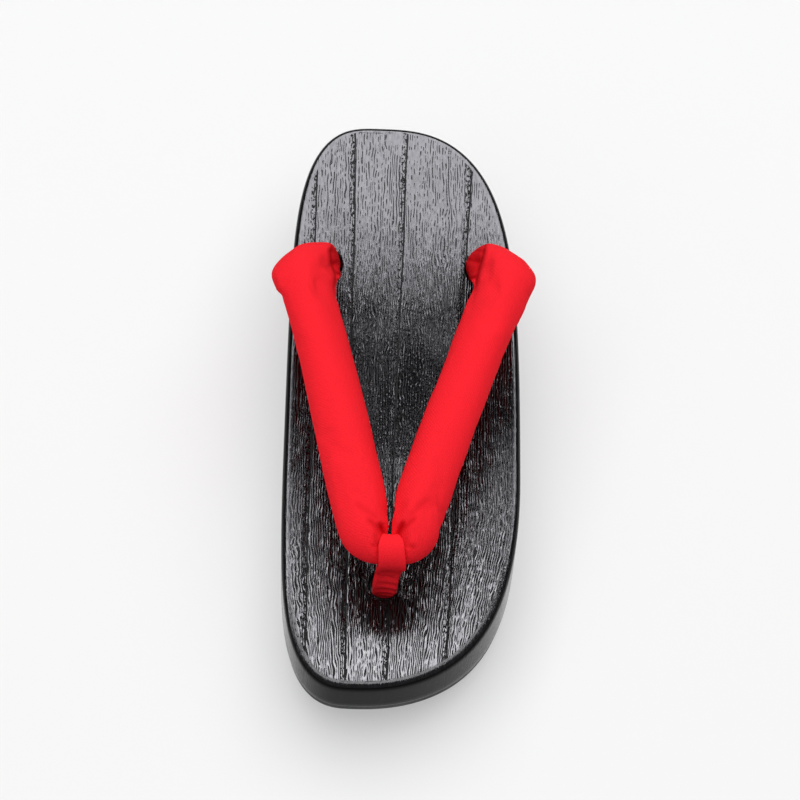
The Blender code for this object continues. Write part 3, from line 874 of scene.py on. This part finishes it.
def evenRows(rows, step):
    # rows at even distances along the strap's middle line
    fine = smoothRows(rows, 24)
    length = np.concatenate([[0], np.cumsum(np.linalg.norm(np.diff(fine[:, :3], axis=0), axis=1))])
    wanted = np.linspace(0, length[-1], int(length[-1] / step) + 1)
    return np.column_stack([np.interp(wanted, length, fine[:, i]) for i in range(fine.shape[1])]), wanted


def armRings(side):
    # side is 0 for the big toe's side and 1 for the other
    table = [(*row[side][:2], row[2][0], row[side][2], *row[2][1:]) for row in strap["arms"]]
    rows, along = evenRows([strap["point"], *table], strap["ringStep"])
    mirror = 1 if side else -1
    heading, inner = Vector((mirror, 0, 0)), Vector((0, 1, 0))
    turns = np.linspace(0, 2 * np.pi, strap["sides"], endpoint=False)
    rings = []
    for i, row in enumerate(rows):
        if i == 0:
            tangent = heading
        elif i == len(rows) - 1:
            tangent = Vector((0, 0, -1))
        else:
            tangent = Vector(rows[i + 1][:3] - rows[i - 1][:3]).normalized()
        inner = heading.rotation_difference(tangent) @ inner
        heading = tangent
        tilt = Matrix.Rotation(-mirror * math.radians(row[5]), 3, tangent)
        across, through = tilt @ inner, tilt @ (mirror * tangent.cross(inner))
        rings.append(row[:3] + np.outer(np.cos(turns) * row[3], across)
                     + np.outer(np.sin(turns) * row[4], through))
    return np.array(rings), along


def makeStrap():
    medial, medialAlong = armRings(0)
    lateral, lateralAlong = armRings(1)
    rings = np.concatenate([medial[::-1], lateral[1:]])
    along = np.concatenate([-medialAlong[::-1], lateralAlong[1:]])
    middles = rings.mean(axis=1, keepdims=True)
    free = softStep(np.abs(along), *strap["freeFrom"]) * (1 - softStep(np.abs(along), *strap["freeTo"]))
    shrink = 1 - (1 - strap["startShrink"]) * free[:, None, None]
    size = strap["sides"]
    slack = middles + (rings - middles) * shrink
    faces = wrapFaces(size, len(rings), closed=True)
    piece = makeObject("paddedStrap", slack.reshape(-1, 3), faces, clothMaterial, 60)
    storeFloats(piece.data, alongStrap=np.repeat(along, size))
    layWeaveMap(piece.data, size, strap["girth"] / size, along)
    inflate(piece, rings, free)
    subdivision = piece.modifiers.new("smooth", "SUBSURF")
    subdivision.levels = subdivision.render_levels = 1
    bakeModifiers(piece)
    seatBand(piece.data)
    shapeElbows(piece.data)
    pressFolds(piece.data)
    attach(piece, "root")
    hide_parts("padded_strap")


def inflate(piece, rings, free):
    # the stuffing: cloth blown up from a slightly slack tube, with its cords and the band's seat held
    before = readPoints(piece.data)
    group = piece.vertex_groups.new(name="held")
    for index, amount in enumerate(np.repeat(free, strap["sides"])):
        group.add([index], float(1 - amount), "REPLACE")
    modifier = piece.modifiers.new("cloth", "CLOTH")
    for name, value in strap["cloth"].items():
        setattr(modifier.settings, name, value)
    modifier.settings.effector_weights.gravity = 0
    modifier.collision_settings.use_collision = False
    modifier.collision_settings.use_self_collision = False
    modifier.point_cache.frame_start = 1
    modifier.point_cache.frame_end = strap["frames"]
    for number in range(1, strap["frames"] + 1):
        bpy.context.scene.frame_set(number)
    mesh = bpy.data.meshes.new_from_object(piece.evaluated_get(bpy.context.evaluated_depsgraph_get()))
    after = readPoints(mesh)
    bpy.data.meshes.remove(mesh)
    piece.modifiers.clear()
    piece.vertex_groups.clear()
    bpy.context.scene.frame_set(1)
    move = after - before
    move *= np.minimum(1, strap["mostMove"] / np.maximum(np.linalg.norm(move, axis=1)[:, None], 1e-6))
    after = (before + move).reshape(rings.shape)
    # the stuffing keeps each section's middle and its size; the folds and the roundness are the cloth's
    middles, wanted = after.mean(axis=1, keepdims=True), rings.mean(axis=1, keepdims=True)
    spokes = after - middles
    scale = np.linalg.norm(rings - wanted, axis=2).mean(axis=1) / np.linalg.norm(spokes, axis=2).mean(axis=1)
    after = wanted + 0.3 * (middles - wanted) + spokes * scale[:, None, None]
    writePoints(piece.data, after.reshape(-1, 3))


def seatBand(mesh):
    # the band grips the point: inside its width no cloth stands out past its inner side
    _, pointY, pointZ, halfY, halfZ, _ = strap["point"]
    points = readPoints(mesh)
    offY, offZ = points[:, 1] - pointY, points[:, 2] - pointZ
    angle = (np.degrees(np.arctan2(offZ, -offY)) + 90) % 360 - 90
    turns, middles, halves = np.array(band["loop"]).T[:3]
    beside = np.abs(points[:, 0] - np.interp(angle, turns, middles)) - np.interp(angle, turns, halves)
    grip = 1 - softStep(beside / np.interp(angle, (0, 60, 110, 180), (1.3, 1.8, 3.4, 3.4)), -0.2, 1.0)
    reach = np.hypot(offY / halfY, offZ / halfZ)
    near = 1 - softStep(reach * halfY, *strap["seat"])
    factor = np.where(reach > 1, 1 + (1 / np.maximum(reach, 1) - 1) * grip * near, 1.0)
    points[:, 1], points[:, 2] = pointY + offY * factor, pointZ + offZ * factor
    writePoints(mesh, points)


def planePlaces(points):
    raised = points - np.array([0, 0, foldPlane["height"]])
    return raised @ np.array(foldPlane["u"]), raised @ np.array(foldPlane["v"])


def readAlong(mesh):
    return readValues(mesh.attributes["alongStrap"].data, "value", 1).ravel()


def shapeElbows(mesh):
    # squares off the two turned-under ends: their corners stand out and their edges run straight
    points, along = readPoints(mesh), readAlong(mesh)
    u, v = planePlaces(points)
    binWidth = math.radians(6)
    bins = np.arange(-math.pi, math.pi - 1e-6, binWidth)
    for sign, (middleU, middleV), outline in elbows:
        near = along * sign
        radius = np.hypot(u - middleU, v - middleV)
        angle = np.arctan2(v - middleV, u - middleU)
        part = (near > strap["elbowSpan"][0]) & (near < strap["elbowSpan"][1])
        slot = np.floor((angle + np.pi) / binWidth).astype(int) % len(bins)
        reach = np.zeros(len(bins))
        np.maximum.at(reach, slot[part], radius[part])
        reach[reach == 0] = 12.0
        corners = np.array(outline) - (middleU, middleV)
        dense = np.concatenate([np.linspace(p, q, 12) for p, q in zip(corners, corners[1:])])
        place = np.floor((np.arctan2(dense[:, 1], dense[:, 0]) + np.pi) / binWidth).astype(int) % len(bins)
        count = np.bincount(place, minlength=len(bins))
        wanted = np.bincount(place, np.hypot(*dense.T), len(bins)) / np.maximum(count, 1)
        ratio = np.where(count > 0, wanted / reach, 1.0)
        ratio = (np.roll(ratio, 1) + 2 * ratio + np.roll(ratio, -1)) / 4
        ends = np.concatenate([[bins[-1] - 2 * np.pi], bins, [bins[0] + 2 * np.pi]]) + binWidth / 2
        ratio, reach = (np.concatenate([[a[-1]], a, [a[0]]]) for a in (ratio, reach))
        scale, edge = np.interp(angle, ends, ratio), np.interp(angle, ends, reach)
        share = np.clip(radius / edge, 0, 1) ** 1.5
        share *= softStep(near, *strap["elbowFrom"]) * (1 - softStep(near, *strap["elbowTo"]))
        factor = (scale - 1) * share
        points += np.outer((u - middleU) * factor, foldPlane["u"])
        points += np.outer((v - middleV) * factor, foldPlane["v"])
    writePoints(mesh, points)


def pressFolds(mesh):
    # soft troughs with low banks beside them, pressed into the side that faces up and forward; the troughs
    # and the cloth under the turned ends also get painted shade, stored as foldShade
    points, normals, along = readPoints(mesh), readValues(mesh.vertices, "normal"), readAlong(mesh)
    u, v = planePlaces(points)
    ahead = np.cross(foldPlane["u"], foldPlane["v"])
    height = points @ ahead
    bins = np.round(along).astype(int) - int(along.min()) + 1
    middle = np.bincount(bins, height) / np.maximum(np.bincount(bins), 1)
    facing = softStep(height - middle[bins], -4.0, -1.0)
    along = np.abs(along)
    total, shade = np.zeros(len(points)), np.zeros(len(points))
    for *line, width, depth, step in folds:
        side, past = lineDistances(u, v, *line)
        fade = np.exp(-(past / (width * 1.6)) ** 2)
        trough = np.exp(-(side / width) ** 2)
        bank = np.exp(-((np.abs(side) - 2.2 * width) / width) ** 2)
        total += fade * (0.22 * depth * bank - depth * trough)
        # painted shade in each trough
        shade = np.maximum(shade, fade * trough * min(1, depth))
        if step:
            low = side * math.copysign(1, step)
            under = fade * softStep(low, -0.2, 0.8) * (1 - softStep(low, 3.2 * abs(step), 4.6 * abs(step)))
            total -= abs(step) * under
            # painted shade on the lower side of a step, where the turned end lies under the arm
            shade = np.maximum(shade, 0.75 * min(1, abs(step) / 2) * under)
    total *= facing * (1 - softStep(along, *strap["foldsEnd"]))
    points += np.outer(total, ahead)
    swell = np.array([noise.noise(Vector(p) / strap["lumpSize"]) for p in points])
    swell *= strap["uneven"] * softStep(along, *strap["lumpsFrom"]) * (1 - softStep(along, *strap["lumpsTo"]))
    writePoints(mesh, points + normals * swell[:, None])
    storeFloats(mesh, foldShade=shade * facing * (along < strap["foldsEnd"][1]))


print("stage: padded strap")
makeStrap()


def bandPath():
    _, pointY, pointZ, halfY, halfZ, _ = strap["point"]
    front = [(x, y - band["plyShift"], z, w, cup) for x, y, z, w, cup in band["tail"]]
    back = [(x, y + band["plyShift"], z, w, -cup) for x, y, z, w, cup in band["tail"]]
    loop = []
    for angle, x, width, cup in band["loop"]:
        turn = math.radians(angle)
        loop.append((x, pointY - (halfY + band["gap"]) * math.cos(turn),
                     pointZ + (halfZ + band["gap"]) * math.sin(turn), width, cup))
    rows, _ = evenRows(front + loop + back[::-1], band["step"])
    return rows


def makeBand():
    rows = bandPath()
    half = band["thickness"] / 2
    share = np.linspace(-1, 1, band["acrossSteps"] + 1)
    rounded = half * (0.35 + 0.65 * np.sqrt(np.clip(1 - np.abs(share) ** 6, 0, 1)))
    points = []
    for i, row in enumerate(rows):
        ahead = rows[min(i + 1, len(rows) - 1)][:3] - rows[max(i - 1, 0)][:3]
        ahead /= np.linalg.norm(ahead)
        across = np.array([1.0, 0.0, 0.0]) - ahead * ahead[0]
        across /= np.linalg.norm(across)
        out = np.cross(ahead, across)
        wave = math.sin(2 * math.pi * (row[2] - 1.2) / band["foldLength"])
        ripple = band["foldDepth"] * wave * np.cos(share * 1.3 + 0.4) * float(softStep(46.5 - row[2], 0, 3))
        cup = ripple - row[4] * share ** 2
        upper = row[:3] + np.outer(share * row[3], across) + np.outer(cup + rounded, out)
        lower = row[:3] + np.outer(share[::-1] * row[3], across) + np.outer(cup - rounded[::-1], out)
        points.append(np.vstack([upper, lower]))
    size = 2 * len(share)
    faces = wrapFaces(size, len(rows), closed=True)
    piece = makeObject("thongBand", np.vstack(points), faces, clothMaterial, 70)
    layWeaveMap(piece.data, size, band["weaveStep"], np.arange(len(rows)) * band["step"])
    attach(piece, "root")
    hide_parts("front_thong")


print("stage: front band")
makeBand()


# Knots in the recesses below, each a twisted cord tied in a trefoil
knots = {
    "sizes": {"Knot Radius": 6.5 * mm, "Rise": 1.95 * mm, "Cord Radius": 2.0 * mm,
              "Twists": 14.0, "Lobe": 0.13},
    "rings": 132,
    "sides": 18,
    "aroundStep": 0.7,  # cloth between neighbouring points, round and along the cord
    "alongStep": 0.55,
    "places": {
        "front_knot": ("frontCordKnot", (-4.2, -82.0, 16.7)),
        "rear_knot_medial": ("rearMedialCordKnot", (-30.1, 59.3, 22.2)),
        "rear_knot_lateral": ("rearLateralCordKnot", (30.5, 59.3, 22.2)),
    },
}


def knotTree():
    tree = bpy.data.node_groups.new("twistedKnot", "GeometryNodeTree")
    for kind, labels in (("Float", knots["sizes"]), ("Int", ("Rings", "Sides")), ("Vector", ("Center",)),
                         ("Material", ("Material",))):
        for label in labels:
            tree.interface.new_socket(name=label, in_out="INPUT", socket_type="NodeSocket" + kind)
    tree.interface.new_socket(name="Geometry", in_out="OUTPUT", socket_type="NodeSocketGeometry")
    given = tree.nodes.new("NodeGroupInput").outputs
    plus, minus, times, over, _, sine, cosine = arithmetic(tree)
    add = partial(addNode, tree)
    index = add("GeometryNodeInputIndex")[0]
    turn = times(over(index, given["Rings"]), 2 * math.pi)
    double = times(turn, 2.0)
    third = over(given["Knot Radius"], 3.0)
    x = times(third, plus(sine(turn), times(sine(double), 2.0)))
    y = times(third, minus(cosine(turn), times(cosine(double), 2.0)))
    z = times(given["Rise"], sine(times(turn, 3.0)))
    place = add("ShaderNodeCombineXYZ", X=x, Y=y, Z=z)[0]
    ring = add("GeometryNodeCurvePrimitiveCircle", Resolution=given["Rings"])["Curve"]
    path = add("GeometryNodeSetPosition", Geometry=ring, Position=place, Offset=given["Center"])[0]
    tilt = times(over(index, given["Rings"]), times(given["Twists"], 2 * math.pi / 3))
    tilted = add("GeometryNodeSetCurveTilt", Curve=path, Tilt=tilt)[0]
    # the cord's section has three lobes, one for each of its strands
    angle = times(over(index, given["Sides"]), 2 * math.pi)
    radius = times(given["Cord Radius"], plus(1.0, times(given["Lobe"], cosine(times(angle, 3.0)))))
    edge = add("ShaderNodeCombineXYZ", X=times(radius, cosine(angle)), Y=times(radius, sine(angle)))[0]
    circle = add("GeometryNodeCurvePrimitiveCircle", Resolution=given["Sides"])["Curve"]
    profile = add("GeometryNodeSetPosition", Geometry=circle, Position=edge)[0]
    swept = add("GeometryNodeCurveToMesh", Curve=tilted, Profile_Curve=profile)[0]
    shown = add("GeometryNodeSetMaterial", Geometry=swept, Material=given["Material"])[0]
    add("NodeGroupOutput", Geometry=shown)
    return tree


def makeKnots():
    tree = knotTree()
    for node, (name, place) in knots["places"].items():
        piece = makeObject(name, [(0, 0, 0)], [])
        modifier = piece.modifiers.new("knot", "NODES")
        modifier.node_group = tree
        values = {**knots["sizes"], "Rings": knots["rings"], "Sides": knots["sides"],
                  "Center": [v * mm for v in place], "Material": clothMaterial}
        for item in tree.interface.items_tree:
            if item.in_out == "INPUT":
                modifier[item.identifier] = values[item.name]
        bakeModifiers(piece)
        along = np.arange(knots["rings"]) * knots["alongStep"]
        layWeaveMap(piece.data, knots["sides"], knots["aroundStep"], along)
        piece.data.shade_smooth()
        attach(piece, "root")
        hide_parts(node)


print("stage: knots")
makeKnots()


# Studio: pale floor, a softbox that only reflections see, a ceiling and a fill that only matt surfaces see
studio = {
    "floor": (0.50, 0.50, 0.50),
    "floorGlow": 0.375,  # the floor is lit from below as well, which keeps the shadows pale
    "floorHalf": 3000.0,
    "world": (0.98, 0.99, 1.0),
    "worldStrength": 0.12,
    "lights": (  # place, aim, size, energy and what sees them
        ("softbox", (0.0, 0.563, 0.56), (0.0, 0.563, 0.0), (1.2, 0.57), 34.0, "glossy"),
        ("ceiling", (0.1, 0.3, 2.0), (0, 0, 0), (3.2, 3.2), 68.0, "diffuse"),
        ("fill", (-0.9, -0.9, 1.1), (0, 0, 0.04), (1.2, 1.2), 4.0, "diffuse"),
    ),
}


def addAreaLight(name, place, aim, size, energy, seen):
    data = bpy.data.lights.new(name, "AREA")
    data.shape = "RECTANGLE"
    data.size, data.size_y = size
    data.energy = energy
    light = addObject(name, data)
    light.location = place
    light.visible_camera = False
    light.visible_diffuse = seen == "diffuse"
    light.visible_glossy = seen == "glossy"
    light.rotation_mode = "QUATERNION"
    light.rotation_quaternion = (Vector(aim) - Vector(place)).to_track_quat("-Z", "Y")


def makeStudio():
    material, _, _ = newMaterial(
        "paleFloor", studio["floor"], 0.9, Specular_IOR_Level=0.1, Emission_Color=(1.0, 1.0, 1.0),
        Emission_Strength=studio["floorGlow"])
    half = studio["floorHalf"]
    floor = makeObject("floor", [(-half, -half, 0), (half, -half, 0), (half, half, 0), (-half, half, 0)],
                       [(0, 1, 2, 3)], material)
    world = bpy.data.worlds.new("world")
    world.use_nodes = True
    background = world.node_tree.nodes["Background"]
    background.inputs["Color"].default_value = (*studio["world"], 1.0)
    background.inputs["Strength"].default_value = studio["worldStrength"]
    bpy.context.scene.world = world
    bpy.context.scene.view_settings.view_transform = "Standard"
    for light in studio["lights"]:
        addAreaLight(*light)


print("stage: studio")
makeStudio()
